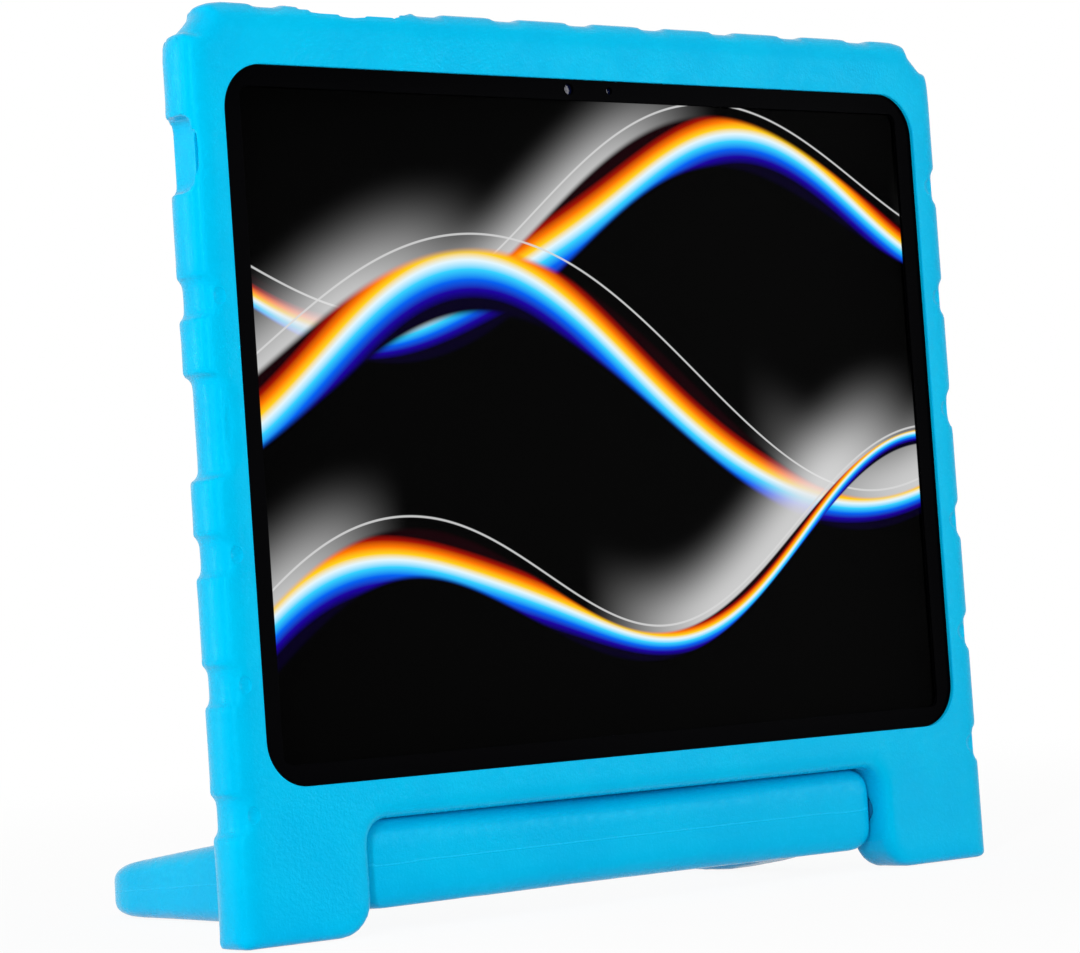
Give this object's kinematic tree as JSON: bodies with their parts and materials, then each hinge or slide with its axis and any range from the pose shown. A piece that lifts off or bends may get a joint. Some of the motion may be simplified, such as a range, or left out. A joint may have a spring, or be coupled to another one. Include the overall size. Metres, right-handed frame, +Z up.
{
  "type": "kids tablet case with handle stand",
  "caption": "Thick foam tablet case with grip grooves and a hinged handle ring that folds out as a stand, holding a large tablet.",
  "frame": {"origin": "on the table, under the middle of the whole object with the handle folded out as a stand", "axes": "+Z up, -Y out of the screen towards the viewer, +X to the right of a viewer in front of the screen"},
  "size_m": [0.3048, 0.1662, 0.2785],
  "materials": {
    "case_foam": "satin moulded EVA foam skin, bright sky blue",
    "handle_foam": "satin moulded EVA foam skin, bright sky blue",
    "hinge_plastic": "matte nylon, blue",
    "housing_metal": "bead-blasted dark grey anodised",
    "display": "lit display, dark background",
    "cover_glass": "polished clear glass with a black printed border",
    "lens_glass": "polished coated lens glass",
    "port_steel": "drawn steel",
    "port_plastic": "black glass-filled plastic",
    "lens_ring_metal": "turned and polished dark ring",
    "flash_window": "frosted warm white"
  },
  "bodies": {
    "case": {"case_body": "case_foam", "hinge_bush_left": "hinge_plastic", "hinge_bush_right": "hinge_plastic", "tablet_housing": "housing_metal", "display_panel": "display", "cover_glass": "cover_glass", "front_camera": "lens_glass", "light_sensor": "lens_glass", "port_shell": "port_steel", "port_tongue": "port_plastic", "rear_camera_plate": "housing_metal", "rear_camera_ring": "lens_ring_metal", "rear_camera_lens": "lens_glass", "depth_sensor_window": "lens_glass", "flash_window": "flash_window"},
    "handle": {"handle_ring": "handle_foam", "hinge_pin_left": "hinge_plastic", "hinge_pin_right": "hinge_plastic"},
    "power_key": {"power_button": "housing_metal"},
    "volume_up_key": {"volume_up_button": "housing_metal"},
    "volume_down_key": {"volume_down_button": "housing_metal"}
  },
  "joints": [
    {"name": "handle_hinge", "type": "hinge", "parent": "case", "child": "handle", "pos_m": [0, -0.07086, 0.01985], "axis": [1, 0, 0], "range_deg": [-90, 0]},
    {"name": "power_press", "type": "slide", "parent": "case", "child": "power_key", "axis": [1, 0, 0], "range_m": [0, 0.0003], "stiffness_N_per_m": 4000},
    {"name": "volume_up_press", "type": "slide", "parent": "case", "child": "volume_up_key", "axis": [0, -0.0175, -0.9998], "range_m": [0, 0.0003], "stiffness_N_per_m": 4000},
    {"name": "volume_down_press", "type": "slide", "parent": "case", "child": "volume_down_key", "axis": [0, -0.0175, -0.9998], "range_m": [0, 0.0003], "stiffness_N_per_m": 4000}
  ]
}
